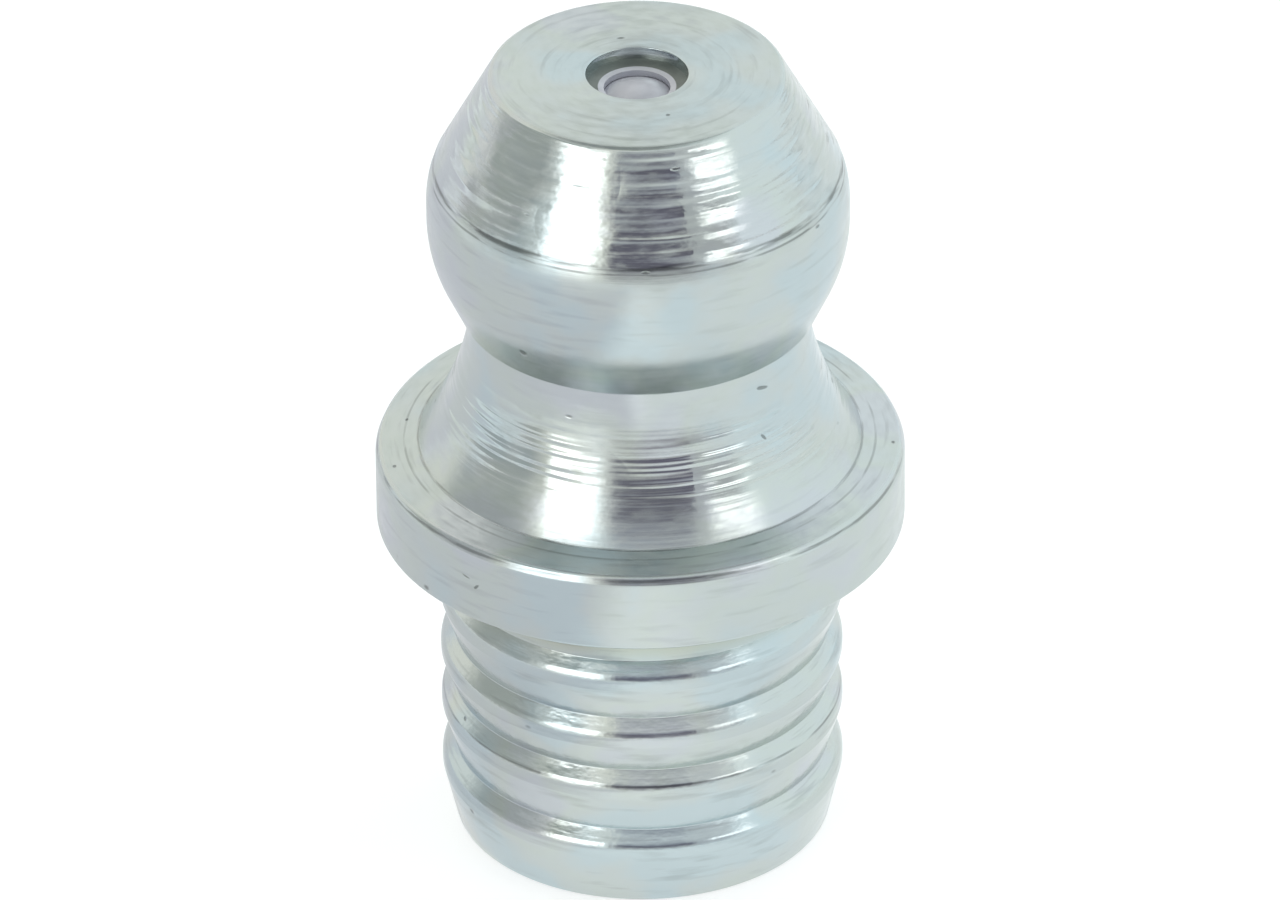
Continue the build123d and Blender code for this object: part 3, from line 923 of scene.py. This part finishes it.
def shade_veil():
    """A grey net just over the floor, seen only in the metal: painted shade, which dims what the sides mirror
    of the floor.
    """
    mesh = bmesh.new()
    bmesh.ops.create_grid(mesh, x_segments=1, y_segments=1, size=0.06,
                          matrix=Matrix.Translation((0, 0, body_low.z + MM / 10)))
    piece = linked("shade_veil", mesh)
    piece.data.materials.append(shade_net_material("painted_shade_net"))
    piece.visible_camera = False
    piece.visible_diffuse = False
    piece.visible_shadow = False


def sheet(finish):
    """A white floor lit a little from below, with painted light round the object's foot, so that the object
    throws only a faint shadow on it.
    """
    mesh = bmesh.new()
    bmesh.ops.create_grid(mesh, x_segments=1, y_segments=1, size=2.0,
                          matrix=Matrix.Translation((0, 0, body_low.z)))
    floor = linked("floor", mesh)
    glow = (finish.foot_painted_light, finish.floor_glow, finish.far_glow)
    floor.data.materials.append(sheet_material("floor_sheet", finish.floor, glow, finish.glow_reach))


def tent(scene):
    """A white tent: even at the sides and dimmer overhead, warmer on the left and cooler on the right."""
    world = bpy.data.worlds.new("studio")
    scene.world = world
    world.use_nodes = True
    tree = world.node_tree
    tree.nodes.clear()
    apart = add(tree, "SeparateXYZ", {0: add(tree, "TexCoord").outputs["Generated"]})
    overhead = eased(tree, apart.outputs[2], TENT_DIM_FROM, 1.0)
    side = eased(tree, apart.outputs[0], -TENT_BLEND, TENT_BLEND)
    sides = add(tree, "Mix", {0: side, 6: rgba(TENT_LEFT), 7: rgba(TENT_RIGHT)}, data_type="RGBA").outputs[2]
    cloth = add(tree, "Mix", {0: overhead, 6: sides, 7: rgba(TENT_TOP)}, data_type="RGBA").outputs[2]
    shader = add(tree, "Background", {"Color": cloth, "Strength": 1.0})
    add(tree, "OutputWorld", {"Surface": shader.outputs[0]})


def eye(scene):
    """The camera, in front of the object and looking down on it."""
    camera = bpy.data.cameras.new("camera")
    camera.lens, camera.sensor_width = LENS, SENSOR
    camera.clip_start, camera.clip_end = 0.01, 10.0
    piece = bpy.data.objects.new("camera", camera)
    elevation, roll = radians(EYE_ELEVATION), radians(EYE_ROLL)
    back = Vector((0, -cos(elevation), sin(elevation)))
    level, up = Vector((1, 0, 0)), Vector((0, sin(elevation), cos(elevation)))
    right = cos(roll) * level + sin(roll) * up
    above = cos(roll) * up - sin(roll) * level
    turn = Matrix((right, above, back)).transposed()
    piece.matrix_world = Matrix.Translation(Vector(EYE_AIM) + back * EYE_DISTANCE) @ turn.to_4x4()
    scene.collection.objects.link(piece)
    scene.camera = piece


class NIPPLE_OT_stage(bpy.types.Operator):
    """Lay the floor, and place the lights and the camera"""
    bl_idname = "nipple.stage"
    bl_label = "Stage"

    def execute(self, context):
        scene = context.scene
        sheet(scene.nipple_finish)
        tent(scene)
        for name, cloth in CLOTHS.items():
            panel(name, *cloth)
        for name, settings in LAMPS.items():
            lamp(name, *settings)
        for name, settings in TOP_LAMPS.items():
            softbox(name, *settings)
        shade_veil()
        eye(scene)
        scene.view_settings.view_transform = "Standard"
        return {"FINISHED"}


class NIPPLE_PT_panel(bpy.types.Panel):
    """Lists the pieces in the sidebar"""
    bl_idname = "NIPPLE_PT_panel"
    bl_label = "Grease Nipple"
    bl_space_type = "VIEW_3D"
    bl_region_type = "UI"
    bl_category = "Nipple"

    def draw(self, context):
        for operator in OPERATORS:
            self.layout.operator(operator.bl_idname)
        for group in GROUPS:
            for name in GROUPS[group].__annotations__:
                self.layout.prop(getattr(context.scene, group), name)


OPERATORS = (NIPPLE_OT_body, NIPPLE_OT_ball, NIPPLE_OT_spring, NIPPLE_OT_stage)
GROUPS = {
    "nipple_head": NippleHead,
    "nipple_collar": NippleCollar,
    "nipple_valve": NippleValve,
    "nipple_finish": NippleFinish,
}


def register():
    """Registers the properties, the operators and the panel."""
    for name, group in GROUPS.items():
        bpy.utils.register_class(group)
        setattr(bpy.types.Scene, name, PointerProperty(type=group))
    for item in (*OPERATORS, NIPPLE_PT_panel):
        bpy.utils.register_class(item)


def unregister():
    """Takes them all out again."""
    for item in (NIPPLE_PT_panel, *reversed(OPERATORS)):
        bpy.utils.unregister_class(item)
    for name, group in reversed(GROUPS.items()):
        delattr(bpy.types.Scene, name)
        bpy.utils.unregister_class(group)


def main():
    """Builds the pieces and the stage."""
    register()
    bpy.ops.nipple.body()
    bpy.ops.nipple.ball()
    bpy.ops.nipple.spring()
    bpy.ops.nipple.stage()


if __name__ == "__main__":
    main()
